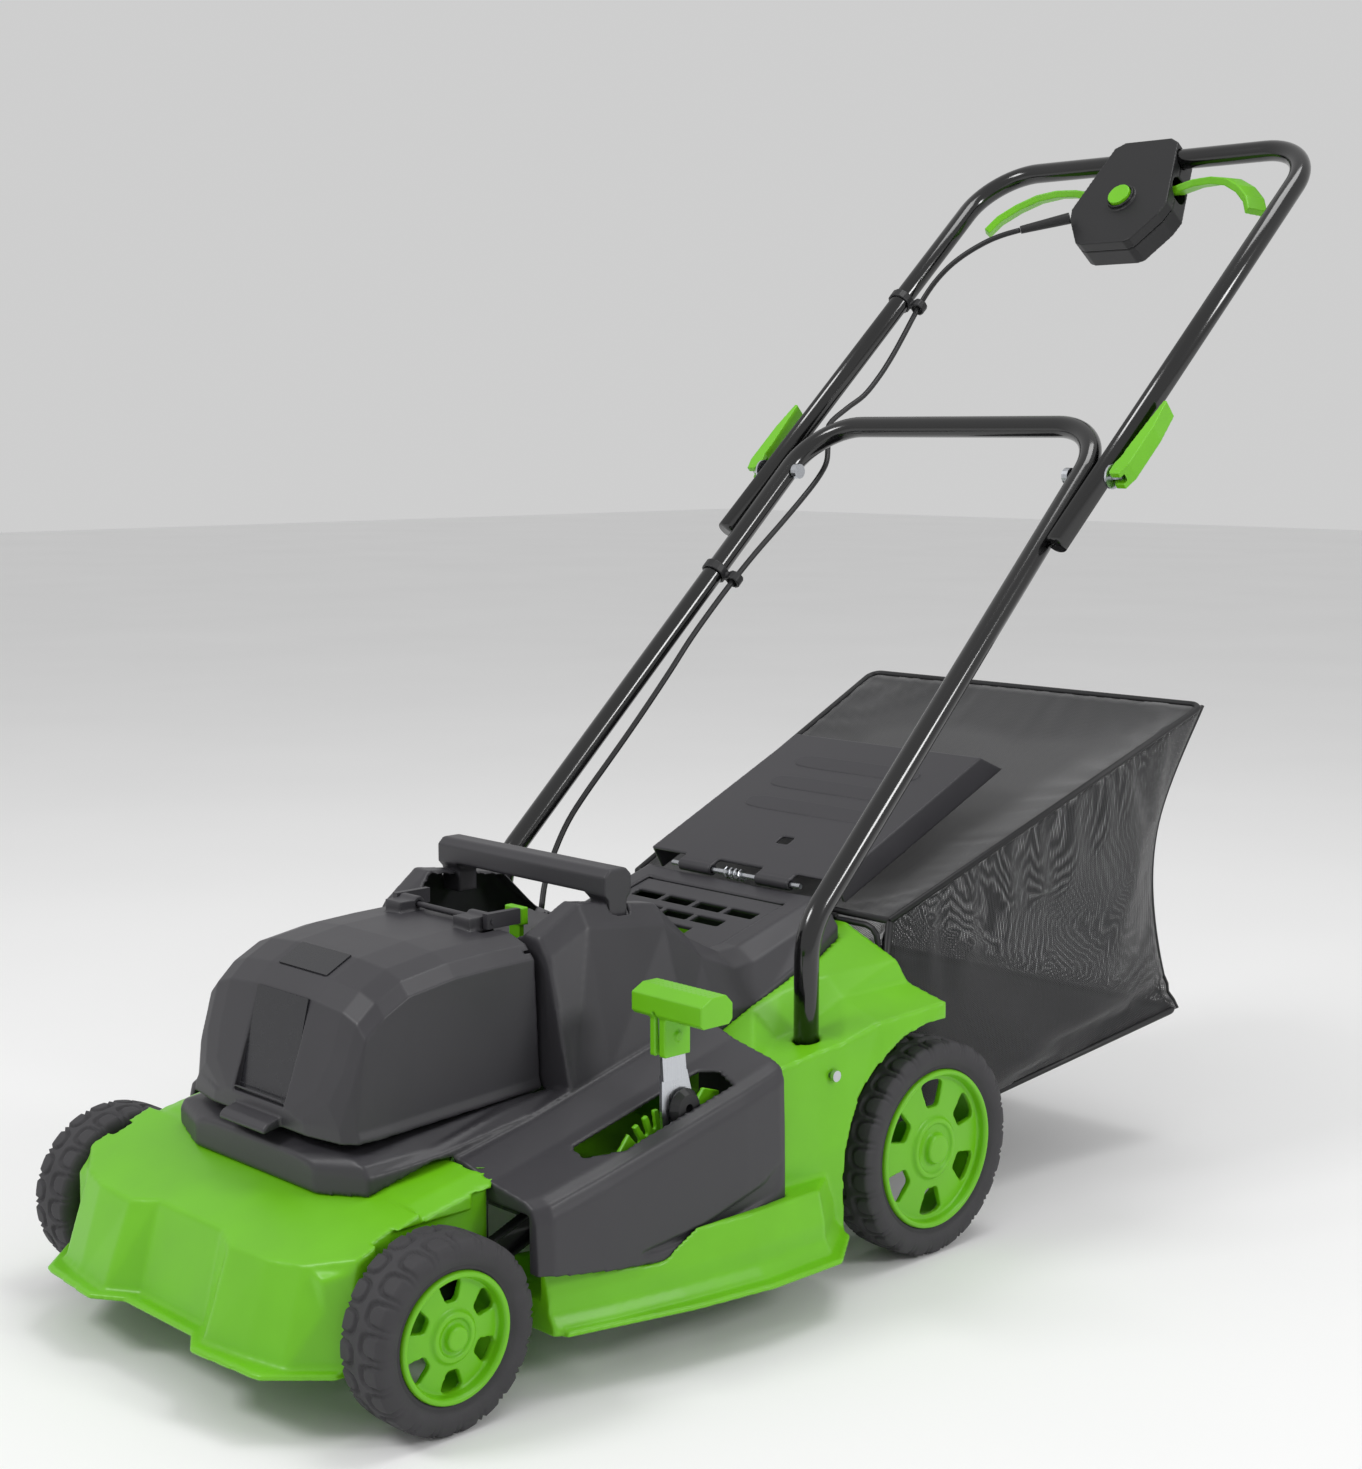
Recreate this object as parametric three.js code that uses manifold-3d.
// Cordless rotary lawn mower with a folding tube handle and a collecting bag.
// Millimetres, +Z up. X runs across the mower, +X on the operator's left, and the front points to -Y.
// While the pieces are made, y = 0 is at the front wheel axle and z = 0 is the ground; the finished group is
// then moved so that its origin is the bottom centre of its bounding box.
import * as THREE from 'three';
import { mergeVertices } from 'three/addons/utils/BufferGeometryUtils.js';
import Module from 'manifold-3d';

const wasm = await Module();
wasm.setup();

// ---------------------------------------------------------------- driving dimensions
const GAP = 0.4;                // clearance between two pieces that touch
const RUN = 0.6;                // radial running clearance of turning pieces

const TUBE_R = 11;              // handle tube, outer radius
const TUBE_WALL = 1.5;

const FRONT_R = 75.2;           // front tyre radius
const REAR_R = 98;              // rear tyre radius
const WHEELBASE = 548;          // front axle to rear axle
const WHEEL_W = 50;             // tyre width
const WHEEL_FACE_X = 250;       // outer face of the rims
const FRONT_RIM_R = 51;
const REAR_RIM_R = 73;
const AXLE_R = 6;

const DECK_WALL = 4;
const DECK_BOTTOM = 47;         // underside of the deck's flange above the ground
const DECK_HALF = 292;          // half width of the deck's flange at its widest
const ROOF_Z = 135;             // roof of the blade chamber
const LEDGE_Z = 106;            // lower roof beside it, under the height lever
const ARCH_GAP = 22;            // wheel arch round the rear tyre
const FLANK_Y = 96;             // front of the deck's flank, behind the front wheel at its lowest
const REAR_Y = 555;             // rear face of the deck

const COVER_WALL = 3;
const LID_WALL = 2.6;
const LID_FRONT = 7;             // extra wall behind the lid's front face, which the panel is let into
const LID_REAR_Y = 194;         // rear edge of the battery lid
const LID_TOP_Z = 327;

const SWING_Y = 130;            // swing frame pivot behind (or ahead of) its wheel axle
const SWING_Z = 50;             // and above it
const SWING_R = 8;              // swing frame cross tube radius

const LEVER_Y = 243;            // height lever pivot
const LEVER_Z = 128;
const LEVER_X = 226;            // inner face of the lever strip

const BLADE_Y = 256;            // motor shaft
const BLADE_R = 180;
const BLADE_Z = 66;
const BLADE_CLEAR = 8;          // the deck's walls stay this far outside the blade's sweep
const MOTOR_R = 48;
const MOTOR_H = 92;
const MOTOR_WALL = 6;
const SHAFT_R = 6;              // motor shaft

const SOCKET = new THREE.Vector3(206.4, 418, 214);   // mouth of the handle socket
const SOCKET_DEPTH = 44;
const LOWER_BEND_Z = 312.6;
const PIVOT_X = 194.2;          // lower tube centre at the fold pivot
const PIVOT_Y = 812.6;
const PIVOT_Z = 694.7;
const UPPER_X = PIVOT_X + 2 * TUBE_R + 1.6;   // upper tube centre, beside the lower tube
const LOWER_TOP = new THREE.Vector3(192.6, 861.3, 741.9);   // virtual corner of the lower cross bar
const UPPER_SLOPE = THREE.MathUtils.degToRad(42.2);
const UPPER_LENGTH = 504.7;     // pivot to the virtual corner of the top bar
const UPPER_TAIL = 92;          // upper tube beyond the pivot
const BEND_R = 66;
const BOLT_R = 3;               // fold pivot bolt
const SCREW_R = 2.6;            // handle screw
const SCREW_Z = 190;

const FLAP_Y = 538;             // flap hinge
const FLAP_Z = 316;
const FLAP_SLOPE = THREE.MathUtils.degToRad(24.3);
const FLAP_LENGTH = 240;
const FLAP_HALF = 124;

const BAG_Y = 566;              // front face of the bag
const BAG_LENGTH = 424;
const BAG_WALL = 3;

const CABLE_R = 3;

// ---------------------------------------------------------------- colours
const finish = (color, roughness, metalness = 0) => ({ color, roughness, metalness });
const GREEN = finish(0x7cc22f, 0.38);
const DARK = finish(0x47464a, 0.48);
const BLACK = finish(0x1b1b1d, 0.45);
const TUBE_PAINT = finish(0x141416, 0.22, 0.3);
const RUBBER = finish(0x4c4b4d, 0.85);
const ZINC = finish(0xc2c4c8, 0.32, 0.9);
const STEEL = finish(0x7e8084, 0.4, 0.85);
const MESH = finish(0x242427, 0.9);

// ---------------------------------------------------------------- solids
const mower = new THREE.Group();

function toSolid(geometry) {
  let bare = geometry.clone();
  bare.deleteAttribute('normal');
  bare.deleteAttribute('uv');
  bare = mergeVertices(bare, 1e-4);
  return new wasm.Manifold(new wasm.Mesh({
    numProp: 3,
    vertProperties: new Float32Array(bare.attributes.position.array),
    triVerts: new Uint32Array(bare.index.array),
  }));
}

function toGeometry(solid) {
  const { vertProperties, triVerts, numProp } = solid.getMesh();
  const points = [];
  for (let i = 0; i < vertProperties.length; i += numProp) {
    points.push(vertProperties[i], vertProperties[i + 1], vertProperties[i + 2]);
  }
  const geometry = new THREE.BufferGeometry();
  geometry.setAttribute('position', new THREE.Float32BufferAttribute(points, 3));
  geometry.setIndex(Array.from(triVerts));
  return geometry;
}

function add(name, solid, look) {
  const mesh = new THREE.Mesh(toGeometry(solid), new THREE.MeshStandardMaterial(look));
  mesh.name = name;
  mower.add(mesh);
  return mesh;
}

const moved = (geometry, x, y, z) => toSolid(geometry.translate(x, y, z));

// a box from its low corner to its high corner
function block(x0, y0, z0, x1, y1, z1) {
  const box = new THREE.BoxGeometry(x1 - x0, y1 - y0, z1 - z0);
  return moved(box, (x0 + x1) / 2, (y0 + y1) / 2, (z0 + z1) / 2);
}

// a cylinder between two points
function rod(from, to, radius, sides = 16, farRadius = radius) {
  const along = to.clone().sub(from);
  const length = along.length();
  const shape = new THREE.CylinderGeometry(farRadius, radius, length, sides);
  shape.translate(0, length / 2, 0);
  const turn = new THREE.Quaternion().setFromUnitVectors(new THREE.Vector3(0, 1, 0), along.normalize());
  shape.applyQuaternion(turn).translate(from.x, from.y, from.z);
  return toSolid(shape);
}

const at = (x, y, z) => new THREE.Vector3(x, y, z);
const rodX = (x0, x1, y, z, radius, sides) => rod(at(x0, y, z), at(x1, y, z), radius, sides);
const rodZ = (x, y, z0, z1, radius, sides) => rod(at(x, y, z0), at(x, y, z1), radius, sides);

const mirrored = (solid) => solid.mirror([1, 0, 0]);
const union = (...solids) => solids.reduce((sum, next) => sum.add(next));
const both = (solid) => solid.add(mirrored(solid));

// a plate whose outline lies in the YZ plane, x0 to x1
function sidePlate(outline, x0, x1) {
  const shape = new THREE.Shape(outline.map(([y, z]) => new THREE.Vector2(y, z)));
  const plate = new THREE.ExtrudeGeometry(shape, { depth: x1 - x0, bevelEnabled: false });
  const turn = new THREE.Matrix4().makeBasis(at(0, 1, 0), at(0, 0, 1), at(1, 0, 0));
  return moved(plate.applyMatrix4(turn), x0, 0, 0);
}

// a block whose outline lies in the XY plane, z0 to z1
function floorPlate(outline, z0, z1) {
  const shape = new THREE.Shape(outline.map(([x, y]) => new THREE.Vector2(x, y)));
  return moved(new THREE.ExtrudeGeometry(shape, { depth: z1 - z0, bevelEnabled: false }), 0, 0, z0);
}

// a skin stretched over rings with equal point counts, closed by flat ends; the rings follow each other in +Y
function loft(sections) {
  const flat = (ring) => ring.map(([x, , z]) => new THREE.Vector2(x, z));
  const turned = THREE.ShapeUtils.area(flat(sections[0])) < 0;
  const rings = turned ? sections.map((ring) => ring.slice().reverse()) : sections;
  const count = rings[0].length;
  const index = [];
  for (let r = 0; r + 1 < rings.length; r += 1) {
    for (let i = 0; i < count; i += 1) {
      const a = r * count + i;
      const b = r * count + ((i + 1) % count);
      index.push(a, b + count, b, a, a + count, b + count);
    }
  }
  const last = (rings.length - 1) * count;
  for (const [a, b, c] of THREE.ShapeUtils.triangulateShape(flat(rings[0]), [])) index.push(a, b, c);
  for (const [a, b, c] of THREE.ShapeUtils.triangulateShape(flat(rings.at(-1)), [])) {
    index.push(last + a, last + c, last + b);
  }
  const geometry = new THREE.BufferGeometry();
  geometry.setAttribute('position', new THREE.Float32BufferAttribute(rings.flat(2), 3));
  geometry.setIndex(index);
  return toSolid(geometry);
}

// a ring across the mower at y from a half profile that runs from the middle outwards and down
function acrossRing(y, half, bottom) {
  const right = half.map(([x, z]) => [x, y, z]);
  const left = half.slice(1).reverse().map(([x, z]) => [-x, y, z]);
  const floor = bottom === undefined ? [] : [[half.at(-1)[0], y, bottom], [-half.at(-1)[0], y, bottom]];
  return [...right, ...floor, ...left];
}

// a half profile moved inwards by a wall
const inset = (half, wall) => half.map(([x, z]) => [Math.max(0, x - wall), z - wall]);

// sections of one moulding: [y, half profile, bottom]
const hull = (sections) => loft(sections.map(([y, half, bottom]) => acrossRing(y, half, bottom)));

// the same moulding a wall smaller, open below
function hollow(sections, wall, drop) {
  const last = sections.length - 1;
  return loft(sections.map(([y, half, bottom], i) => {
    const shift = i === 0 ? wall : i === last ? -wall : 0;
    return acrossRing(y + shift, inset(half, wall), bottom - drop);
  }));
}

// ---------------------------------------------------------------- tubes along a route
// A route is a chain of straight stretches and arcs, and a station stands only where its direction changes.
class Route extends THREE.Curve {
  constructor(stations) {
    super();
    this.stations = stations;
    this.steps = stations.length - 1;
  }

  getPoint(t, target = new THREE.Vector3()) {
    const place = Math.min(Math.max(t, 0), 1) * this.steps;
    const i = Math.min(Math.floor(place), this.steps - 1);
    return target.copy(this.stations[i]).lerp(this.stations[i + 1], place - i);
  }

  getPointAt(u, target) {
    return this.getPoint(u, target);
  }

  getTangentAt(u, target = new THREE.Vector3()) {
    const i = Math.round(u * this.steps);
    const before = this.stations[Math.max(i - 1, 0)];
    const here = this.stations[i];
    const after = this.stations[Math.min(i + 1, this.steps)];
    const sum = new THREE.Vector3();
    if (i > 0) sum.add(here.clone().sub(before).normalize());
    if (i < this.steps) sum.add(after.clone().sub(here).normalize());
    return target.copy(sum.normalize());
  }
}

// stations of a polyline whose inner corners are rounded
function rounded(corners, radii, steps = 5) {
  const stations = [corners[0].clone()];
  for (let i = 1; i + 1 < corners.length; i += 1) {
    const here = corners[i];
    const back = corners[i - 1].clone().sub(here).normalize();
    const ahead = corners[i + 1].clone().sub(here).normalize();
    const half = back.angleTo(ahead) / 2;
    const reach = radii[i - 1] / Math.tan(half);
    const centre = here.clone().add(back.clone().add(ahead).normalize()
      .multiplyScalar(radii[i - 1] / Math.sin(half)));
    const start = here.clone().addScaledVector(back, reach).sub(centre);
    const end = here.clone().addScaledVector(ahead, reach).sub(centre);
    const axis = start.clone().cross(end).normalize();
    const sweep = start.angleTo(end);
    for (let s = 0; s <= steps; s += 1) {
      stations.push(start.clone().applyAxisAngle(axis, (sweep * s) / steps).add(centre));
    }
  }
  stations.push(corners.at(-1).clone());
  return stations;
}

function pipe(stations, radius, sides, bore = 0) {
  const route = new Route(stations);
  const section = new THREE.Shape(ringPoints(radius, sides));
  if (bore > 0) section.holes.push(new THREE.Path(ringPoints(bore, sides).reverse()));
  return toSolid(new THREE.ExtrudeGeometry(section, { steps: route.steps, extrudePath: route }));
}

function ringPoints(radius, sides, cx = 0, cy = 0, phase = 0) {
  return Array.from({ length: sides }, (_, i) => {
    const angle = phase + (i / sides) * Math.PI * 2;
    return new THREE.Vector2(cx + radius * Math.cos(angle), cy + radius * Math.sin(angle));
  });
}

// a turned piece about the X axis through (y, z); the profile is [radius, x] and closes on itself
function turnedX(profile, y, z, sides, phase = 0) {
  const points = profile.map(([r, x]) => new THREE.Vector2(r, x));
  points.push(points[0].clone());
  const lathe = new THREE.LatheGeometry(points, sides, phase);
  const turn = new THREE.Matrix4().makeBasis(at(0, 1, 0), at(1, 0, 0), at(0, 0, -1));
  const solid = toSolid(lathe.applyMatrix4(turn));
  const right = solid.volume() > 0 ? solid : toSolid(flipped(lathe));
  return right.translate([0, y, z]);
}

function flipped(geometry) {
  const index = Array.from(geometry.index.array);
  for (let i = 0; i < index.length; i += 3) [index[i], index[i + 1]] = [index[i + 1], index[i]];
  geometry.setIndex(index);
  return geometry;
}

// ---------------------------------------------------------------- places worked out from the dimensions
const frontAxle = { y: 0, z: FRONT_R };
const rearAxle = { y: WHEELBASE, z: REAR_R };
const frontSwing = { y: SWING_Y, z: FRONT_R + SWING_Z };
const rearSwing = { y: WHEELBASE - SWING_Y, z: REAR_R + SWING_Z };
const WHEEL_INNER_X = WHEEL_FACE_X - WHEEL_W;
const DECK_INNER_X = WHEEL_INNER_X - 5;          // deck side next to a wheel
const ARCH_R = REAR_R + ARCH_GAP;

const upperAlong = at(0, Math.cos(UPPER_SLOPE), Math.sin(UPPER_SLOPE));
const upperAcross = at(0, -Math.sin(UPPER_SLOPE), Math.cos(UPPER_SLOPE));
const pivot = at(0, PIVOT_Y, PIVOT_Z);
const topBar = pivot.clone().addScaledVector(upperAlong, UPPER_LENGTH);
const lowerFoot = at(SOCKET.x, SOCKET.y, SOCKET.z - SOCKET_DEPTH);
const lowerBend = at(SOCKET.x, SOCKET.y, LOWER_BEND_Z);

// deck roof in front of the battery, rising to the rear
const FRONT_TOP_Y = -78;
const FRONT_TOP_Z = 123;
const ROOF_RISE = 0.36;
const frontRoof = (y) => FRONT_TOP_Z + (y - FRONT_TOP_Y) * ROOF_RISE;

// ---------------------------------------------------------------- deck
function deckSections() {
  const side = DECK_INNER_X;
  const low = DECK_BOTTOM;
  const body = (y, roof, x) => [y, [[0, roof], [178, roof], [192, LEDGE_Z], [x - 14, LEDGE_Z - 2],
    [x - 7, low + 30], [x - 6, low + 16], [x, low + 6]], low];
  const front = (y, roof, x) => [y, [[0, roof], [x - 60, roof], [x - 24, roof - 2], [x - 3, roof - 8],
    [x - 1, low + 16], [x, low + 6]], low];
  return {
    front: [
      front(-70, frontRoof(-70), side - 16),
      front(-50, frontRoof(-50), side),
      front(20, frontRoof(20), side),
      front(FLANK_Y, frontRoof(60), side),
    ],
    middle: [
      body(FLANK_Y, ROOF_Z, 244),
      body(150, ROOF_Z, 257),
      body(215, ROOF_Z, 268),
      body(294, ROOF_Z, 278),
      body(374, ROOF_Z, 277),
      body(424, ROOF_Z, 244),
    ],
  };
}

// raised rear part that carries the handle sockets and the rear fenders
function deckRearSections() {
  const low = DECK_BOTTOM;
  const section = (y, centre, ...outer) => [y, [[0, centre], ...outer], low];
  return [
    section(348, 205, [132, 205], [158, 214], [212, 208], [230, 204], [237, 120], [238, 60]),
    section(402, 226, [138, 240], [158, 236], [186, 214], [234, 212], [240, 120], [240, 60]),
    section(434, 236, [136, 252], [160, 246], [190, 220], [238, 216], [244, 130], [242, 60]),
    section(478, 262, [132, 268], [174, 256], [194, 240], [240, 226], [250, 170], [248, 60]),
    section(REAR_Y, 286, [128, 288], [192, 262], [205, 244], [250, 233], [250, 190], [248, 60]),
  ];
}

function flange() {
  const inner = DECK_INNER_X;
  const half = [[0, -104], [50, -104], [76, -121], [155, -113.6], [inner, -72], [inner, FLANK_Y + 1],
    [252, FLANK_Y + 8],
    [280, 215], [DECK_HALF, 294], [291, 374], [254, 424], [inner, 446], [inner, REAR_Y]];
  const outline = [...half, ...half.slice().reverse().map(([x, y]) => [-x, y])];
  return floorPlate(outline.filter(([x], i) => i === 0 || i === outline.length - 1 || x !== 0),
    DECK_BOTTOM, DECK_BOTTOM + 5);
}

// the front wall: a recessed middle between two forward corner blocks, leaning back
function deckNose() {
  const foot = [[-DECK_INNER_X, -60], [-160, -96], [-122, -104], [-74, -110], [-46, -92], [46, -92], [74, -110],
    [122, -104], [160, -96], [DECK_INNER_X, -60]];
  const top = [[-DECK_INNER_X + 2, -48], [-156, -72], [-122, -80], [-72, -82], [-46, -72], [46, -72], [72, -82],
    [122, -80], [156, -72], [DECK_INNER_X - 2, -48]];
  return { foot, top };
}

function noseSolid(shift, lift) {
  const { foot, top } = deckNose();
  const ring = (outline, z) => [
    ...outline.map(([x, y]) => [x * (1 - shift / DECK_INNER_X), y + shift, z]),
    [DECK_INNER_X - shift, 10, z], [-DECK_INNER_X + shift, 10, z]];
  const low = DECK_BOTTOM - lift;
  const roof = top.map(([x, y]) => [x * (1 - shift / DECK_INNER_X), y + shift, frontRoof(y) - shift]);
  const upper = [...roof, [DECK_INNER_X - 2 - shift, 10, frontRoof(10) - shift],
    [-DECK_INNER_X + 2 + shift, 10, frontRoof(10) - shift]];
  const count = upper.length;
  const rings = [ring(foot, low), upper];
  const points = rings.flat(2);
  const index = [];
  for (let i = 0; i < count; i += 1) {
    const next = (i + 1) % count;
    index.push(i, next, next + count, i, next + count, i + count);
  }
  const plan = rings[0].map(([x, y]) => new THREE.Vector2(x, y));
  for (const [a, b, c] of THREE.ShapeUtils.triangulateShape(plan, [])) {
    index.push(a, c, b);
    index.push(a + count, b + count, c + count);
  }
  const geometry = new THREE.BufferGeometry();
  geometry.setAttribute('position', new THREE.Float32BufferAttribute(points, 3));
  geometry.setIndex(index);
  const solid = toSolid(geometry);
  return solid.volume() > 0 ? solid : toSolid(flipped(geometry));
}

const deckBody = deckSections();
const deckRear = deckRearSections();

const ARM_X = WHEEL_INNER_X - 12;                // inner face of the swing arms
const POCKET_X = ARM_X - 2;                      // deck wall beside the arms
const TUNNEL_X = 122;                            // half width of the discharge tunnel

// its roof line
const TUNNEL = { y0: 352, z0: ROOF_Z - DECK_WALL, y1: 400, z1: 196, y2: REAR_Y + 5, z2: 270 };

// side view of the discharge tunnel, grown by a wall where it is the tunnel's skin
const tunnelOutline = (wall) => [[330, 20], [330, TUNNEL.z0], [TUNNEL.y0, TUNNEL.z0 + wall],
  [TUNNEL.y1, TUNNEL.z1 + wall], [TUNNEL.y2, TUNNEL.z2 + wall], [TUNNEL.y2, 20]];

function tunnelRoof(y) {
  const { y0, z0, y1, z1, y2, z2 } = TUNNEL;
  if (y < y1) return z0 + (Math.max(0, y - y0) * (z1 - z0)) / (y1 - y0);
  return z1 + ((y - y1) * (z2 - z1)) / (y2 - y1);
}

// space for the rear wheel and its arm, grown by a wall where it is the fender's skin
function archSpace(wall) {
  const round = rodX(POCKET_X - wall, DECK_HALF + 10, rearAxle.y, rearAxle.z, ARCH_R + wall, 32);
  const front = rearAxle.y - ARCH_R - wall + 3;
  const below = block(POCKET_X - wall, front, 0, DECK_HALF + 10, REAR_Y + 60, rearAxle.z);
  return round.add(below);
}

// space for the front arm: beside the nose, then under the wing
function armSpace(wall) {
  const beside = block(POCKET_X - wall, -32 - wall, 20, DECK_HALF + 10, FLANK_Y + 1, 146 + wall);
  const under = block(POCKET_X - wall, 60, 72 - wall, 228 + wall, 152 + wall, 158);
  return beside.add(under);
}

function makeDeck(coverSpace) {
  const outer = union(hull(deckBody.front), hull(deckBody.middle), hull(deckRear), noseSolid(0, 0), flange());
  const wall = DECK_WALL;
  const drop = 10;
  const inner = union(hollow(deckBody.front, wall, drop), hollow(deckBody.middle, wall, drop),
    hollow(deckRear, wall, drop), noseSolid(wall, drop),
    block(-POCKET_X + wall, FLANK_Y - 20, 30, POCKET_X - wall, FLANK_Y + 20, ROOF_Z - wall));
  const socketBoss = rodZ(SOCKET.x, SOCKET.y, SOCKET.z - SOCKET_DEPTH - 6, SOCKET.z + 2, TUBE_R + wall, 14);
  const skins = union(both(archSpace(wall)), both(armSpace(wall)), both(socketBoss),
    sidePlate(tunnelOutline(wall), -TUNNEL_X - wall, TUNNEL_X + wall));
  let deck = outer.subtract(inner.subtract(skins));
  deck = deck.subtract(sidePlate(tunnelOutline(0), -TUNNEL_X, TUNNEL_X));
  deck = deck.subtract(both(archSpace(0))).subtract(both(armSpace(0)));
  const socketR = (TUBE_R + GAP) / Math.cos(Math.PI / 12);   // the flats of the hole clear the tube
  const socket = rodZ(SOCKET.x, SOCKET.y, SOCKET.z - SOCKET_DEPTH - 2, SOCKET.z + 40, socketR, 12);
  const screwHole = rodX(SOCKET.x - 18, DECK_HALF, SOCKET.y, SCREW_Z, SCREW_R + GAP, 10);
  deck = deck.subtract(both(socket)).subtract(both(screwHole));
  for (const swing of [frontSwing, rearSwing]) {
    deck = deck.subtract(rodX(-ARM_X, ARM_X, swing.y, swing.z, SWING_R + RUN, 12));
  }
  // the rear arm passes from inside the deck into the wheel arch, and the tie rod through the front wall
  deck = deck.subtract(both(block(POCKET_X - 6, rearSwing.y - 22, rearSwing.z - 40,
    ARM_X + 11, rearSwing.y + 54, rearSwing.z + 28)));
  // the tie rod's rear end slides through the skin of the wheel arch
  deck = deck.subtract(block(TIE.x - 4, rearSwing.y - 6, tieZ(rearSwing.y) - 12, TIE.x + 8, rearSwing.y + 18,
    tieZ(rearSwing.y) + 12));
  deck = deck.subtract(block(TIE.x - 4, 340, 92, TIE.x + 14, 356, LEDGE_Z + 40));
  deck = deck.subtract(rodZ(0, BLADE_Y, ROOF_Z - 30, ROOF_Z + 10, 12, 16));
  // the tunnel's side walls start outside the blade's sweep
  deck = deck.subtract(rodZ(0, BLADE_Y, 20, BLADE_Z + 16 + BLADE_CLEAR, BLADE_R + BLADE_CLEAR, 48));
  return deck.subtract(coverSpace);
}

// ---------------------------------------------------------------- top cover
// crease between the cover's body and its side wing, and the wing's outer ridge
const creaseZ = (y) => 168 + (y - 60) * 0.262;
const ridgeZ = (y) => 156 + (y - 80) * 0.235;
const CREASE_X = 152;

function coverSections() {
  const crease = (y) => [CREASE_X, creaseZ(y)];
  const low = (y) => Math.max(frontRoof(Math.min(y, 66)), 0) + 1;
  const overTunnel = (y) => tunnelRoof(y) + DECK_WALL + 5 * GAP;
  const section = (y, p) => [y, p, Math.max(Math.min(low(y), 172), overTunnel(y))];
  return [
    section(-12, [[0, 176], [40, 176], [58, 175], [70, 174], [78, 172], [84, 168]]),
    section(4, [[0, 181], [70, 181], [100, 181], [116, 180], [128, 176], [134, 168]]),
    section(60, [[0, 184], [70, 184], [100, 186], [118, 187], [136, 180], [144, 175]]),
    section(150, [[0, 186], [70, 187], [100, 192], [118, 195], [134, 197], crease(150)]),
    section(LID_REAR_Y + 1, [[0, 188], [70, 190], [100, 195], [118, 198], [134, 203], crease(196)]),
    section(LID_REAR_Y + 7, [[0, 314], [70, 316], [88, 323], [106, 322], [118, 306], crease(202)]),
    section(240, [[0, 306], [72, 306], [92, 346], [112, 347], [124, 328], crease(240)]),
    section(326, [[0, 304], [72, 304], [92, 334], [112, 335], [126, 318], crease(326)]),
    section(366, [[0, 288], [72, 287], [92, 296], [112, 299], [130, 284], [CREASE_X, 240]]),
    section(404, [[0, 276], [72, 276], [92, 278], [112, 280], [132, 268], [CREASE_X, 238]]),
    section(428, [[0, 281], [72, 281], [92, 281], [112, 281], [132, 270], [CREASE_X, 246]]),
    section(492, [[0, 299], [72, 299], [92, 300], [112, 300], [132, 290], [150, 274]]),
    section(532, [[0, 310], [72, 310], [92, 311], [112, 312], [128, 303], [140, 288]]),
  ];
}

function wingSections() {
  const section = (y, bottom, out) => {
    const ridge = ridgeZ(y);
    const crease = creaseZ(y);
    return [
      [CREASE_X - 14, y, bottom], [CREASE_X - 14, y, crease - 2], [CREASE_X + 4, y, crease - 3],
      [190, y, (crease + ridge) / 2 - 3], [238 + out, y, ridge], [248 + out, y, ridge - 5],
      [252 + out, y, ridge - 16], [254 + out, y, bottom]];
  };
  return [
    section(80, 100, -9), section(92, 99, -2), section(148, 90, 1), section(220, 82, 2), section(297, 80, 2),
    section(338, 80, 0), section(346, 86, -2)];
}

const wingOuter = loft(wingSections());

function wingHollow() {
  const w = COVER_WALL;
  return loft(wingSections().map((ring, i, all) => {
    const y = ring[0][1] + (i === 0 ? w : i === all.length - 1 ? -w : 0);
    return ring.map(([x, , z], k) => {
      if (k === 0) return [x - 30, y, z - 40];
      if (k === ring.length - 1) return [x - w, y, z - 40];
      return [k < 2 ? x - 30 : x - (k > 3 ? w : 0), y, z - w];
    });
  }));
}

const coverBody = coverSections();
const coverOuter = union(hull(coverBody), both(wingOuter));

const BAY = { x: 84, y0: 14, y1: LID_REAR_Y - 14 };      // opening for the battery bay
const VENT = { x: 92, y0: 412, y1: 512 };                // opening for the ventilation grille

function ventPlane(y) {
  return 281 + (y - 428) * 0.281;
}

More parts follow.
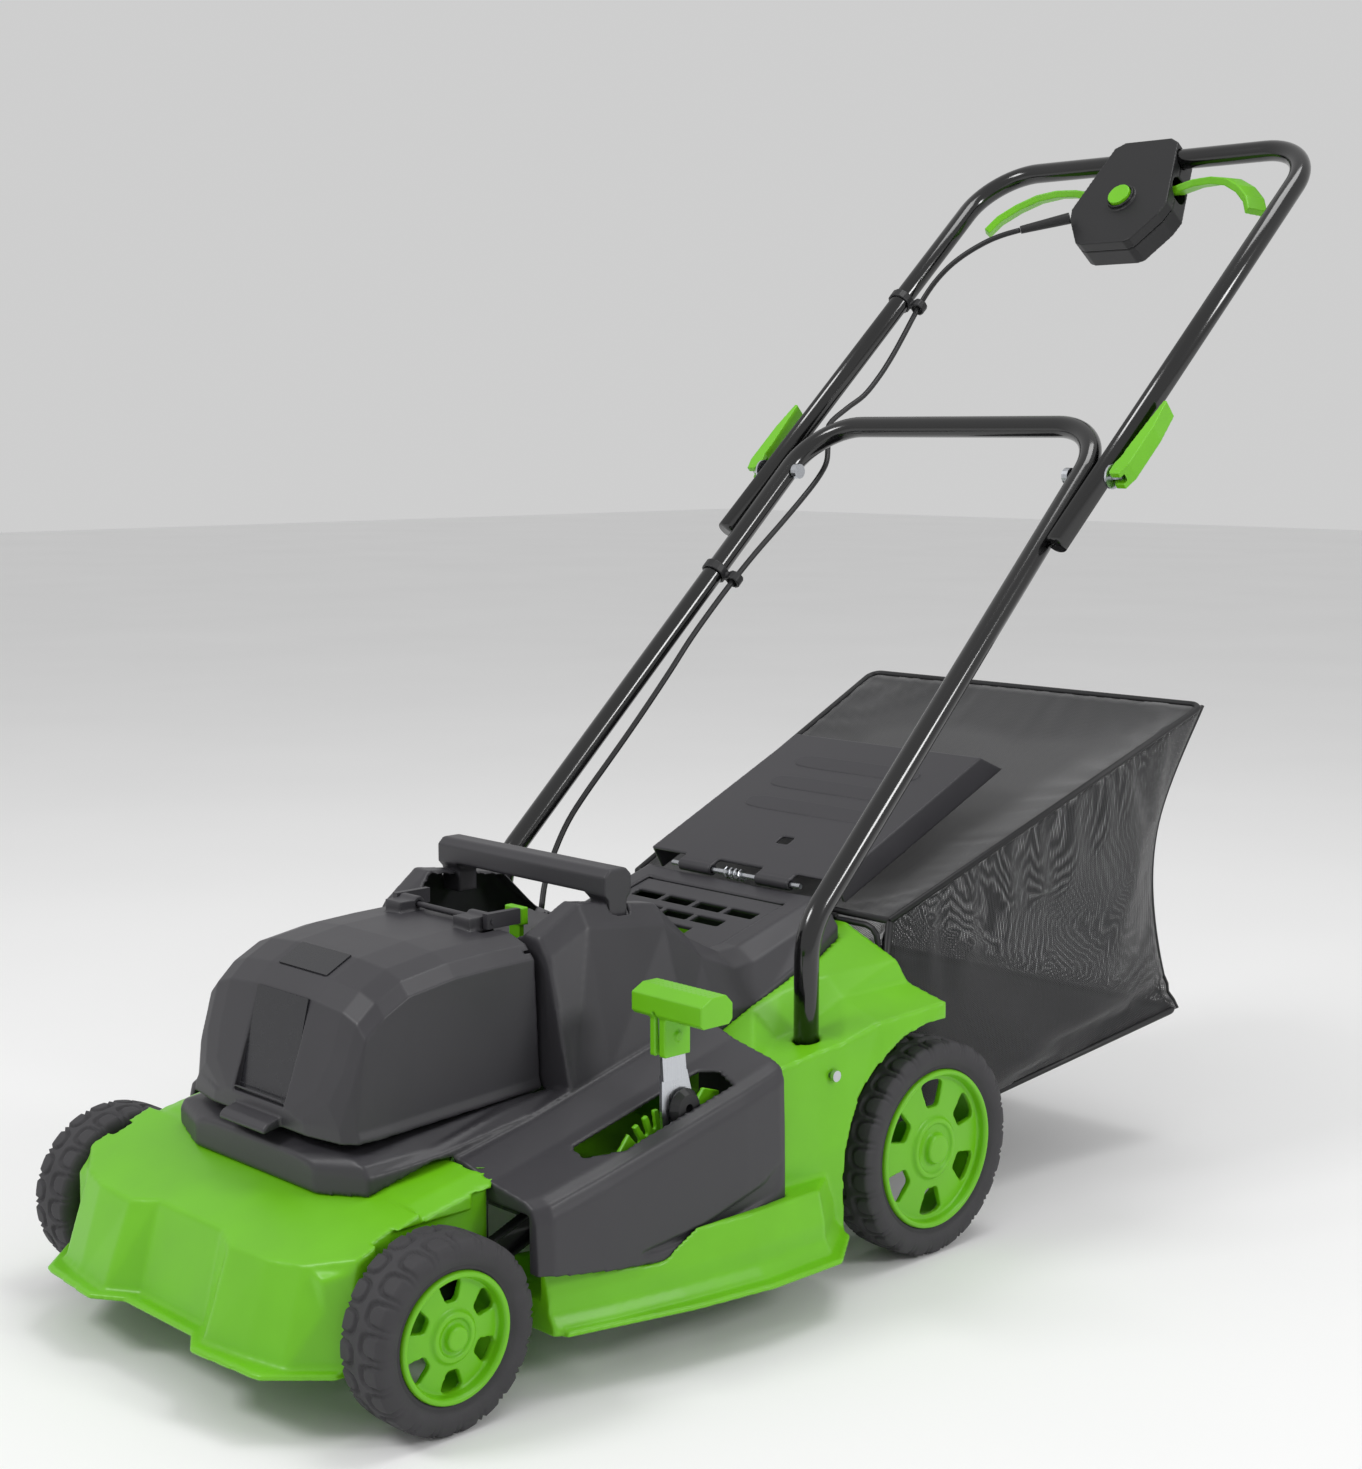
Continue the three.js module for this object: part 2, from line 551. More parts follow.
function makeCover() {
  // the hollow also stands back from the steep front faces, by a wall
  const bodyHollow = hollow(coverBody, COVER_WALL, 30);
  const inner = union(bodyHollow.intersect(bodyHollow.translate([0, COVER_WALL, 0])), both(wingHollow()));
  let cover = coverOuter.subtract(inner);
  cover = cover.subtract(block(-BAY.x, BAY.y0, 150, BAY.x, BAY.y1, 230));
  // slot for the height lever along the wing's ridge
  const slot = floorPlate([[203, 152], [222, 148], [239, 176], [239, 296], [216, 302], [203, 292]], 130, 300);
  cover = cover.subtract(slot);
  // the front arms swing through the wings' front walls
  cover = cover.subtract(both(block(POCKET_X - 3, 70, 60, 234, 96, 146)));
  cover = cover.subtract(block(TIE.x - 4, 336, tieZ(343) - 24, TIE.x + 8, 350, tieZ(343) + 24));
  // crescent scoop low on each wing, with a thicker wall behind it
  const backing = sidePlate([[152, 92], [160, 102], [250, 110], [318, 129], [342, 148], [342, 112],
    [330, 100], [270, 90], [200, 88]], 249, 252.4);
  cover = cover.add(both(backing));
  const scoop = sidePlate([[160, 96], [250, 104], [318, 122], [346, 140], [352, 128], [330, 108], [270, 96],
    [200, 92]], 252.4, 262);
  cover = cover.subtract(both(scoop));
  // ventilation opening
  const vent = sidePlate([[VENT.y0, 262], [VENT.y0, 330], [VENT.y1, 340], [VENT.y1, 280]], -VENT.x, VENT.x);
  cover = cover.subtract(vent);
  // the carry handle's feet stand in two pockets
  for (const x of [-HANDLE.x, HANDLE.x]) {
    cover = cover.subtract(block(x - 15, HANDLE.y0 + 4, 320, x + 15, HANDLE.y1 - 4, 360));
  }
  // slot of the safety key
  cover = cover.subtract(block(KEY.x - 9.5, KEY.y - 4.5, 290, KEY.x + 9.5, KEY.y + 4.5, 330));
  return cover;
}

// ---------------------------------------------------------------- carry handle, grille, key
const HANDLE = { x: 102, y0: 268, y1: 298, low: 341, top: 371 };
const KEY = { x: 50, y: 224 };

function makeCarryHandle() {
  const { x, y0, y1, low, top } = HANDLE;
  const bar = sidePlate([[y0, low + 8], [y0 + 5, low + 2], [y1 - 5, low + 2], [y1, low + 8], [y1, top - 6],
    [y1 - 6, top], [y0 + 6, top], [y0, top - 6]], -x - 12, x + 12);
  const arch = block(-x + 14, y0 - 2, low - 5, x - 14, y1 + 2, low + 8);
  const foot = block(x - 13, y0 + 5, 322, x + 12, y1 - 5, low + 10);
  return bar.subtract(arch).add(both(foot));
}

function makeGrille() {
  const lean = Math.atan(0.281);
  const width = (VENT.x - GAP) * 2;
  const depth = (VENT.y1 - VENT.y0 - 2 * GAP - 2) / Math.cos(lean);
  let plate = toSolid(new THREE.BoxGeometry(width, depth, 4));
  const rows = [[-26, 2], [-2, 3], [22, 4]];
  for (const [row, count] of rows) {
    const pitch = 42;
    for (let i = 0; i < count; i += 1) {
      const x = (i - (count - 1) / 2) * pitch;
      plate = plate.subtract(moved(new THREE.BoxGeometry(37, 13, 10), x, row, 0));
    }
  }
  const middle = (VENT.y0 + VENT.y1) / 2;
  return plate.rotate([THREE.MathUtils.radToDeg(lean), 0, 0]).translate([0, middle, ventPlane(middle) - 3]);
}

function makeKey() {
  const blade = block(KEY.x - 7, KEY.y - 2.5, 280, KEY.x + 7, KEY.y + 2.5, 324);
  const grip = block(KEY.x - 11, KEY.y - 4, 323, KEY.x + 11, KEY.y + 4, 338);
  return blade.add(grip);
}

// ---------------------------------------------------------------- battery, bay and lid
const BAY_FLOOR = 177;

function makeBay() {
  const x = BAY.x - GAP;
  const y0 = BAY.y0 + GAP;
  const y1 = BAY.y1 - GAP;
  const rim = 6;
  const hole = block(-x + 3, y0 + 3, BAY_FLOOR, x - 3, y1 - 3, 230);
  const tub = block(-x, y0, BAY_FLOOR - 3, x, y1, 212).subtract(hole);
  const contacts = block(-26, y1 - 14, BAY_FLOOR - 1, 26, y1 - 1, 208);
  return tub.add(contacts).subtract(block(-x + rim, y0 - 5, 206, x - rim, y1 - 20, 230));
}

const PACK = { x: 66, y0: 26, y1: 160, z0: BAY_FLOOR + GAP, z1: 262 };
const RELEASE = { x: 16, y0: PACK.y0 + 38, y1: PACK.y0 + 54, proud: 3, deep: 5, travel: 2.5 };

function makePack() {
  const outline = [[PACK.y0, PACK.z0], [PACK.y1, PACK.z0], [PACK.y1, PACK.z1], [PACK.y0 + 30, PACK.z1],
    [PACK.y0 + 6, PACK.z1 - 22], [PACK.y0, PACK.z1 - 50]];
  const body = sidePlate(outline, -PACK.x, PACK.x);
  const grip = block(-40, PACK.y0 + 60, PACK.z1 - 1, 40, PACK.y1 - 20, PACK.z1 + 18)
    .subtract(block(-32, PACK.y0 + 50, PACK.z1 - 14, 32, PACK.y0 + 78, PACK.z1 + 10));
  const pocket = block(-RELEASE.x - GAP, RELEASE.y0 - GAP, PACK.z1 - RELEASE.deep - RELEASE.travel - GAP,
    RELEASE.x + GAP, RELEASE.y1 + GAP, PACK.z1 + 2);
  return body.add(grip).subtract(pocket);
}

function makeReleaseButton() {
  return block(-RELEASE.x, RELEASE.y0, PACK.z1 - RELEASE.deep, RELEASE.x, RELEASE.y1, PACK.z1 + RELEASE.proud);
}

function lidSections() {
  const base = (y) => 189 + Math.max(0, y) * 0.05;
  const section = (y, top, wide) => {
    const z = base(y);
    const low = Math.min(top - 2, z + 12);
    const drop = (k) => Math.max(low, top - k);
    return [y, [[0, top], [wide * 0.38, top], [wide * 0.7, drop(3)], [wide * 0.87, drop(9)],
      [wide * 0.97, drop(20)], [wide * 1.02, Math.max(low - 2, z + 6)], [wide * 1.04, z + 3]], z];
  };
  return [
    section(-6, 208, 62), section(1, 226, 100), section(10, 252, 111),
    section(22, 289, 113), section(39, 304, 114),
    section(64, 317, 114), section(110, 324, 114), section(150, LID_TOP_Z - 1, 114),
    section(LID_REAR_Y - 1, LID_TOP_Z, 114)];
}

const LID_HINGE = { y: LID_REAR_Y - 8, z: LID_TOP_Z + 5, x0: 36, x1: 58 };
const EAR = { x0: 59, x1: 65 };  // the bracket's ears, outside the knuckles
const PIN_R = 2.5;

function makeLid() {
  const sections = lidSections();
  const outer = hull(sections);
  // the cavity also stands back from the front face, behind the panel's recess
  const cavity = hollow(sections, LID_WALL, 10);
  let lid = outer.subtract(cavity.intersect(cavity.translate([0, LID_FRONT, 0])));
  // pull tab at the foot of the front face
  lid = lid.add(sidePlate([[-22, 186], [-2, 190], [-2, 198], [-18, 194], [-22, 190]], -32, 32));
  // recessed fields for the two smooth panels
  lid = lid.subtract(lidPanel(FRONT_PANEL, 1.6, 6)).subtract(lidPanel(TOP_PANEL, 1.6, 6));
  // grip slots on the top
  lid = lid.subtract(block(-24, 84, LID_TOP_Z - 4, 24, 90, LID_TOP_Z + 6));
  lid = lid.subtract(block(-18, 112, LID_TOP_Z - 2.4, 18, 120, LID_TOP_Z + 6));
  // hinge knuckles
  for (const side of [-1, 1]) {
    const x0 = Math.min(side * LID_HINGE.x0, side * LID_HINGE.x1);
    const x1 = x0 + LID_HINGE.x1 - LID_HINGE.x0;
    const knuckle = rodX(x0, x1, LID_HINGE.y, LID_HINGE.z, 7, 14);
    const web = block(x0, LID_HINGE.y - 20, LID_TOP_Z - 3, x1, LID_HINGE.y, LID_HINGE.z + 4);
    lid = lid.add(knuckle.add(web));
  }
  // the rear is open below its rim, so that the lid swings up over the battery
  lid = lid.subtract(block(-105, LID_REAR_Y - 8, 180, 105, LID_REAR_Y + 4, LID_TOP_Z - 14));
  // notches that clear the bracket's ears
  lid = lid.subtract(both(block(EAR.x0 - GAP, LID_HINGE.y - 12, LID_TOP_Z - 8, EAR.x1 + GAP, LID_REAR_Y + 2,
    LID_TOP_Z + 8)));
  return lid.subtract(rodX(-80, 80, LID_HINGE.y, LID_HINGE.z, PIN_R + RUN, 12));
}

// an inset panel on the lid: a slab tilted to the lid's face, centred at (y, z)
const FRONT_PANEL = { y: 10.6, z: 247, tilt: 76.5, half: 36, length: 88 };
const TOP_PANEL = { y: 52, z: 311.4, tilt: 28, half: 34, length: 28 };

function lidPanel({ y, z, tilt, half, length }, below, above) {
  const slab = new THREE.BoxGeometry(half * 2, length, below + above);
  slab.translate(0, 0, (above - below) / 2);
  slab.rotateX(THREE.MathUtils.degToRad(tilt));
  return moved(slab, 0, y, z);
}

function panelInsert(panel) {
  const smaller = { ...panel, half: panel.half - GAP, length: panel.length - 2 * GAP };
  return lidPanel(smaller, 1.2, 0.4);
}

function makeLidBracket() {
  // two ears on the cover that hold the lid's hinge pin
  const pin = rodX(-EAR.x1 - 1, EAR.x1 + 1, LID_HINGE.y, LID_HINGE.z, PIN_R, 12);
  const ear = block(EAR.x0, LID_HINGE.y - 6, LID_HINGE.z - 6, EAR.x1, LID_REAR_Y + 22, LID_HINGE.z + 7);
  return pin.add(both(ear));
}

// ---------------------------------------------------------------- wheels and swing frames
function makeTyre(x, axle, radius, rimRadius) {
  const sides = 36;
  const across = radius / Math.cos(Math.PI / sides);     // flat facets touch the ground
  const in0 = x - WHEEL_W / 2;
  const out0 = x + WHEEL_W / 2;
  const profile = [[rimRadius + 1, in0 + 4], [across - 6, in0], [across, in0 + 9], [across, out0 - 9],
    [across - 6, out0], [rimRadius + 1, out0 - 4]];
  return turnedX(profile, axle.y, axle.z, sides, Math.PI / sides);
}

const RIM_SIDES = 20;

function makeRim(side, axle, rimRadius) {
  const face = WHEEL_FACE_X;
  const back = WHEEL_INNER_X + 5;
  const lip = rimRadius;
  const barrel = [[lip - 5, back], [lip + 0.6, back], [lip + 0.6, face - 5], [lip - 1, face - 3.5],
    [lip - 6, face - 3.5],
    [lip - 6, face - 16], [lip - 5, face - 18]];
  const outer = turnedX(barrel, axle.y, axle.z, RIM_SIDES, Math.PI / RIM_SIDES);
  const disc = turnedX([[9, face - 14], [lip - 4.5, face - 17], [lip - 4.5, face - 12.5], [22, face - 9],
    [9, face - 9]], axle.y, axle.z, RIM_SIDES, Math.PI / RIM_SIDES);
  const hub = turnedX([[AXLE_R + RUN, back], [14, back], [16, face - 10], [16, face - 4], [13, face - 2],
    [AXLE_R + RUN, face - 2]], axle.y, axle.z, 12, 0);
  let rim = union(outer, disc, hub);
  for (let i = 0; i < 6; i += 1) {
    const window = new THREE.Shape();
    const mid = (i + 0.5) * (Math.PI / 3);
    const r0 = 23;
    const r1 = lip - 9;
    window.absarc(0, 0, r1, mid - 0.36, mid + 0.36, false);
    window.absarc(0, 0, r0, mid + 0.28, mid - 0.28, true);
    const cut = new THREE.ExtrudeGeometry(window, { depth: 12, bevelEnabled: false, curveSegments: 1 });
    const turn = new THREE.Matrix4().makeBasis(at(0, 1, 0), at(0, 0, 1), at(1, 0, 0));
    rim = rim.subtract(moved(cut.applyMatrix4(turn), face - 19, axle.y, axle.z));
  }
  return side > 0 ? rim : mirrored(rim);
}

// a cross tube with an arm and a wheel spindle at each end, and a horn for the tie rod
function makeSwingFrame(swing, axle, hornUp) {
  const inner = ARM_X;
  const tube = rodX(-inner - 1, inner + 1, swing.y, swing.z, SWING_R, 12);
  const away = at(0, axle.y - swing.y, axle.z - swing.z);
  const length = away.length();
  const angle = Math.atan2(away.z, away.y);
  const arm = new THREE.Shape([[-13, -12], [length + 13, -12], [length + 13, 12], [-13, 12]]
    .map(([a, b]) => new THREE.Vector2(a, b)));
  const plate = new THREE.ExtrudeGeometry(arm, { depth: 9, bevelEnabled: false });
  const channel = new THREE.BoxGeometry(length + 10, 17, 20);
  channel.translate(length / 2, 0, 12);
  let solid = toSolid(plate).subtract(toSolid(channel)).rotate([0, 0, THREE.MathUtils.radToDeg(angle)]);
  const turn = new THREE.Matrix4().makeBasis(at(0, 1, 0), at(0, 0, 1), at(1, 0, 0)).elements;
  solid = solid.transform(Array.from(turn)).translate([inner, swing.y, swing.z]);
  const spindle = rodX(inner, WHEEL_FACE_X - 1, axle.y, axle.z, AXLE_R, 12);
  const reach = hornUp ? TIE.horn : -TIE.horn;
  const stub = rodX(inner, TIE.x - 1, swing.y, swing.z, SWING_R, 12);
  const horn = block(TIE.x - 4, swing.y - 6, swing.z + Math.min(0, reach) - 5, TIE.x - 1, swing.y + 6,
    swing.z + Math.max(0, reach) + 5);
  const peg = rodX(TIE.x - 2, TIE.x + 6, swing.y, swing.z + reach, TIE.peg, 10);
  return union(tube, both(solid), both(spindle), stub, horn, peg);
}

// ---------------------------------------------------------------- height lever
// tie rod from the front frame's upright horn to the rear frame's hanging one, so that they turn opposite ways
const TIE = { x: 204, horn: 31, peg: 3, play: 1.6, over: 6.5, under: 8.5, drop: 1.5 };
const tieZ = (y) => frontSwing.z + TIE.horn + ((y - frontSwing.y) / (rearSwing.y - frontSwing.y))
  * (rearSwing.z - frontSwing.z - 2 * TIE.horn);

function makeLeverStrip() {
  const x0 = LEVER_X;
  const low = sidePlate([[LEVER_Y - 12, LEVER_Z - 14], [LEVER_Y + 12, LEVER_Z - 14],
    [LEVER_Y + 18, LEVER_Z + 68],
    [LEVER_Y + 10, LEVER_Z + 98], [LEVER_Y - 18, LEVER_Z + 98], [LEVER_Y - 18, LEVER_Z + 68]], x0, x0 + 3);
  const high = sidePlate([[LEVER_Y + 8, LEVER_Z + 93], [LEVER_Y + 2, LEVER_Z + 151],
    [LEVER_Y - 22, LEVER_Z + 151],
    [LEVER_Y - 18, LEVER_Z + 93]], x0 + 2, x0 + 5);
  const peg = rodX(TIE.x - 1, x0 + 1, LEVER_Y, tieZ(LEVER_Y), TIE.peg, 10);
  return low.add(high).add(peg).subtract(rodX(x0 - 5, x0 + 10, LEVER_Y, LEVER_Z, 5 + RUN, 12));
}

function makeLeverKnob() {
  const y0 = LEVER_Y - 28;
  const z = LEVER_Z + 147;
  const cap = sidePlate([[y0, z + 3], [y0 + 3, z], [y0 + 31, z], [y0 + 35, z + 4], [y0 + 35, z + 17],
    [y0 + 28, z + 24], [y0 + 12, z + 24], [y0, z + 18]], 204, 284);
  const neck = block(LEVER_X - 5, y0 + 4, z - 32, LEVER_X + 13, y0 + 32, z + 2);
  const slot = block(LEVER_X + 2 - GAP, y0 - 2, z - 40, LEVER_X + 5 + GAP, y0 + 40, z + 5);
  const bolt = rodX(LEVER_X + 12, LEVER_X + 15, y0 + 18, z - 16, 4, 12);
  return cap.add(neck).add(bolt).subtract(slot);
}

function makeLeverBoss() {
  return turnedX([[4, LEVER_X + 3 + GAP], [15, LEVER_X + 3 + GAP], [16, LEVER_X + 6], [12, LEVER_X + 12],
    [4, LEVER_X + 12]], LEVER_Y + 4, LEVER_Z + 68, 16);
}

function makeLeverBolt() {
  const shank = rodX(LEVER_X - 7, LEVER_X + 5, LEVER_Y, LEVER_Z, 5, 12);
  return shank.add(rodX(LEVER_X + 3 + GAP, LEVER_X + 7, LEVER_Y, LEVER_Z, 8, 12));
}

// notched plate beside the lever
function makeQuadrant() {
  const radius = 68;
  const notch = 15;
  const from = THREE.MathUtils.degToRad(90 + 37);
  const to = THREE.MathUtils.degToRad(90 - 23);
  const notches = 7;
  const step = (to - from) / (notches - 1);
  const outline = [];
  for (let i = 0; i < notches; i += 1) {
    const a = from + step * i;
    for (const [k, r] of [[-0.3, radius], [-0.18, radius - notch], [0.18, radius - notch], [0.3, radius]]) {
      outline.push([LEVER_Y + r * Math.cos(a + step * k), LEVER_Z + r * Math.sin(a + step * k)]);
    }
  }
  outline.push([LEVER_Y + 40, LEVER_Z + 74], [LEVER_Y + 58, LEVER_Z + 68], [LEVER_Y + 62, LEDGE_Z + GAP]);
  outline.push([LEVER_Y - 62, LEDGE_Z + GAP], [LEVER_Y - 62, LEVER_Z + 30]);
  const travel = rodX(200, 240, LEVER_Y, tieZ(LEVER_Y), TIE.peg + 12, 12);
  return sidePlate(outline, 214, 218).subtract(travel);
}

function makeTieRod() {
  const place = (y, h) => [y, tieZ(y) + h];
  const y0 = frontSwing.y - 10;
  const y1 = rearSwing.y + 7;
  const outline = [place(y0, -TIE.under), place(y1, -TIE.under), place(y1, TIE.over), place(y0, TIE.over)];
  let strap = sidePlate(outline, TIE.x, TIE.x + 4);
  for (const y of [frontSwing.y, LEVER_Y, rearSwing.y]) {
    strap = strap.subtract(rodX(TIE.x - 4, TIE.x + 12, y, tieZ(y), TIE.peg + TIE.play, 10));
  }
  // the lever's peg drops as the lever leans, so its hole is longer downwards
  return strap.subtract(rodX(TIE.x - 4, TIE.x + 12, LEVER_Y, tieZ(LEVER_Y) - TIE.drop, TIE.peg + TIE.play, 10));
}

// ---------------------------------------------------------------- motor and blade
function makeMotor() {
  const top = ROOF_Z + MOTOR_H;
  const can = rodZ(0, BLADE_Y, ROOF_Z + GAP, top, MOTOR_R, 24);
  const flangePlate = rodZ(0, BLADE_Y, ROOF_Z + GAP, ROOF_Z + 8, MOTOR_R + 10, 24);
  const cap = rodZ(0, BLADE_Y, top - 1, top + 10, 22, 16);
  const inside = rodZ(0, BLADE_Y, ROOF_Z + 2 * MOTOR_WALL, top - MOTOR_WALL, MOTOR_R - MOTOR_WALL, 24);
  return union(can, flangePlate, cap).subtract(inside)
    .subtract(rodZ(0, BLADE_Y, ROOF_Z - 4, ROOF_Z + 60, SHAFT_R + RUN, 16));
}

function makeShaft() {
  return rodZ(0, BLADE_Y, BLADE_Z + 8, ROOF_Z + 56, SHAFT_R, 16);
}

function makeBladeCarrier() {
  const body = rodZ(0, BLADE_Y, BLADE_Z + 3.4, BLADE_Z + 34, 22, 24);
  return body.subtract(rodZ(0, BLADE_Y, BLADE_Z + 7.5, BLADE_Z + 60, SHAFT_R + GAP, 16))
    .subtract(rodZ(0, BLADE_Y, BLADE_Z - 2, BLADE_Z + 7, 5 + GAP, 16))
    .subtract(rodZ(0, BLADE_Y, BLADE_Z + 6, BLADE_Z + 9, 5 + GAP, 16));
}

function makeBlade() {
  const r = BLADE_R;
  const wing = (s) => [[s * 40, s * -24], [s * r * 0.98, s * -20], [s * r, s * 12], [s * r * 0.72, s * 27],
    [s * 40, s * 26]];
  const flat = [...wing(1), ...wing(-1)].map(([x, y]) => [x, y + BLADE_Y]);
  let blade = floorPlate(flat, BLADE_Z, BLADE_Z + 3);
  const lift = sidePlate([[15, BLADE_Z + 1], [27, BLADE_Z + 1], [30, BLADE_Z + 14], [27, BLADE_Z + 14]]
    .map(([y, z]) => [y + BLADE_Y, z]), r * 0.62, r * 0.9);
  blade = blade.add(lift).add(lift.translate([0, -BLADE_Y, 0]).rotate([0, 0, 180]).translate([0, BLADE_Y, 0]));
  return blade.subtract(rodZ(0, BLADE_Y, BLADE_Z - 5, BLADE_Z + 10, 5 + GAP, 16));
}

function makeBladeBolt() {
  const head = rodZ(0, BLADE_Y, BLADE_Z - 9, BLADE_Z - GAP, 12, 6);
  return head.add(rodZ(0, BLADE_Y, BLADE_Z - 2, BLADE_Z + 7, 5, 16));
}

// ---------------------------------------------------------------- handles
const TUBE_SIDES = 10;

function makeLowerHandle() {
  const half = [lowerFoot, lowerBend, LOWER_TOP.clone()];
  const corners = [...half, ...half.slice().reverse().map((p) => at(-p.x, p.y, p.z))];
  const stations = rounded(corners, [BEND_R, BEND_R - 4, BEND_R - 4, BEND_R], 4);
  let tube = pipe(stations, TUBE_R, TUBE_SIDES, TUBE_R - TUBE_WALL);
  tube = tube.subtract(rodX(-260, 260, PIVOT_Y, PIVOT_Z, BOLT_R + GAP, 12));
  return tube.subtract(rodX(-260, 260, SOCKET.y, SCREW_Z, SCREW_R + GAP, 10));
}

function makeUpperHandle() {
  const foot = pivot.clone().addScaledVector(upperAlong, -UPPER_TAIL);
  const half = [at(UPPER_X, foot.y, foot.z), at(UPPER_X - 2, topBar.y, topBar.z)];
  const corners = [...half, ...half.slice().reverse().map((p) => at(-p.x, p.y, p.z))];
  const stations = rounded(corners, [BEND_R, BEND_R], 5);
  const tube = pipe(stations, TUBE_R, TUBE_SIDES, TUBE_R - TUBE_WALL);
  return tube.subtract(rodX(-260, 260, PIVOT_Y, PIVOT_Z, BOLT_R + GAP, 12));
}

function makeHandleScrew(side) {
  const screw = rodX(SOCKET.x - 16, 240, SOCKET.y, SCREW_Z, SCREW_R, 10)
    .add(rodX(239 + GAP, 243, SOCKET.y, SCREW_Z, 5, 12));
  return side > 0 ? screw : mirrored(screw);
}

function makePivotBolt(side) {
  const head = rodX(PIVOT_X - TUBE_R - 7, PIVOT_X - TUBE_R - GAP, PIVOT_Y, PIVOT_Z, 8, 14);
  const shank = rodX(PIVOT_X - TUBE_R - 1, CAM.x + 3, PIVOT_Y, PIVOT_Z, BOLT_R, 12);
  const bolt = head.add(shank).subtract(rod(
    at(CAM.x, PIVOT_Y, PIVOT_Z).addScaledVector(upperAcross, -20),
    at(CAM.x, PIVOT_Y, PIVOT_Z).addScaledVector(upperAcross, 20), 1.2, 8));
  return side > 0 ? bolt : mirrored(bolt);
}

function makePivotWasher(side) {
  const x = UPPER_X + TUBE_R;
  const washer = turnedX([[BOLT_R + GAP, x + GAP], [12, x + GAP], [12, x + 2.6], [BOLT_R + GAP, x + 2.6]],
    PIVOT_Y, PIVOT_Z, 16);
  return side > 0 ? washer : mirrored(washer);
}

// cam lever: a channel that closes along the upper tube
const CAM = { x: UPPER_X + TUBE_R + 11, length: 96 };

function makeCamLever(side) {
  const x0 = UPPER_X + TUBE_R + 3.4;
  const outline = [[-6, x0 + 2.4], [-3, x0 + 0.2], [9, x0], [18, x0 + 3], [30, x0 + 3], [CAM.length, x0 + 9],
    [CAM.length, x0 + 13], [60, x0 + 17], [8, x0 + 17], [-6, x0 + 12.6]];
  const shape = new THREE.Shape(outline.map(([a, b]) => new THREE.Vector2(a, b)));
  const plate = new THREE.ExtrudeGeometry(shape, { depth: 20, bevelEnabled: false });
  plate.translate(0, 0, -10);
  // the outline runs along the tube and outwards; the depth runs across the tube
  const turn = new THREE.Matrix4().makeBasis(upperAlong, at(1, 0, 0), upperAcross.clone().negate());
  let lever = toSolid(plate.applyMatrix4(turn)).translate([0, PIVOT_Y, PIVOT_Z]);
  const middle = at(CAM.x, PIVOT_Y, PIVOT_Z);
  const fork = new THREE.BoxGeometry(30, 16, 2 * BOLT_R + 2);
  fork.translate(2, 0, 0);
  lever = lever.subtract(toSolid(fork.applyMatrix4(turn)).translate([x0 + 6, PIVOT_Y, PIVOT_Z]));
  const end = (h) => middle.clone().addScaledVector(upperAcross, h);
  const pin = rod(end(-11), end(11), 0.8, 8);
  lever = lever.add(pin);
  return side > 0 ? lever : mirrored(lever);
}

// ---------------------------------------------------------------- switch box and bails
// the box's face runs down and forwards from above the top bar
const BOX_SLOPE = THREE.MathUtils.degToRad(54);
const boxDown = at(0, -Math.cos(BOX_SLOPE), -Math.sin(BOX_SLOPE));
const boxOut = at(0, -Math.sin(BOX_SLOPE), Math.cos(BOX_SLOPE));
const BOX_FACE = 14;            // face plane in front of the top bar's centre
const BOX_BACK = 24;            // back plane behind it
const BOX_WALL = 2.4;

function boxPlace(geometry) {
  const turn = new THREE.Matrix4().makeBasis(at(-1, 0, 0), boxDown, boxOut);
  const solid = toSolid(geometry.applyMatrix4(turn));
  return solid.translate([0, topBar.y, topBar.z]);
}

function boxSlab(wall, from, to) {
  const half = [[30 - wall, -20 + wall], [42 - wall, -13 + wall], [63 - wall, 72], [58 - wall, 88],
    [36 - wall, 121 - wall], [28 - wall, 124 - wall]];
  const outline = [...half, ...half.slice().reverse().map(([x, y]) => [-x, y])];
  const shape = new THREE.Shape(outline.map(([x, y]) => new THREE.Vector2(x, y)));
  const slab = new THREE.ExtrudeGeometry(shape, { depth: to - from, bevelEnabled: false });
  return boxPlace(slab.translate(0, 0, from));
}

const barSpace = rodX(-80, 80, topBar.y, topBar.z, TUBE_R + GAP, 16);
const BUTTON = { down: 62, r: 13 };

function boxRod(down, from, to, radius, sides) {
  const middle = topBar.clone().addScaledVector(boxDown, down);
  const end = (h) => middle.clone().addScaledVector(boxOut, h);
  return rod(end(from), end(to), radius, sides);
}

function makeBoxFront() {
  let front = boxSlab(0, GAP, BOX_FACE).subtract(boxSlab(BOX_WALL, -1, BOX_FACE - BOX_WALL)).subtract(barSpace);
  front = front.add(boxRod(BUTTON.down, BOX_FACE - 2, BOX_FACE + 5, BUTTON.r + 3, 24));
  return front.subtract(boxRod(BUTTON.down, 0, 40, BUTTON.r + RUN, 24)).subtract(bailSpace());
}

function makeBoxBack() {
  let back = boxSlab(0, -BOX_BACK, 0).subtract(boxSlab(BOX_WALL, -BOX_BACK + BOX_WALL, 1)).subtract(barSpace);
  return back.subtract(bailSpace()).subtract(reliefSpace());
}

function makeStartButton() {
  const stem = boxRod(BUTTON.down, -4, BOX_FACE + 3, 5, 14);
  return stem.add(boxRod(BUTTON.down, BOX_FACE - 4, BOX_FACE + 8, BUTTON.r, 24));
}

const BAIL = { down: 40, back: -6, r: 6 };

const bailAxis = () => topBar.clone().addScaledVector(boxDown, BAIL.down).addScaledVector(boxOut, BAIL.back);

function bailSpace() {
  const a = bailAxis();
  return block(-80, a.y - 15, a.z - 15, 80, a.y + 15, a.z + 15).intersect(rodX(-80, 80, a.y, a.z, 15, 20));
}

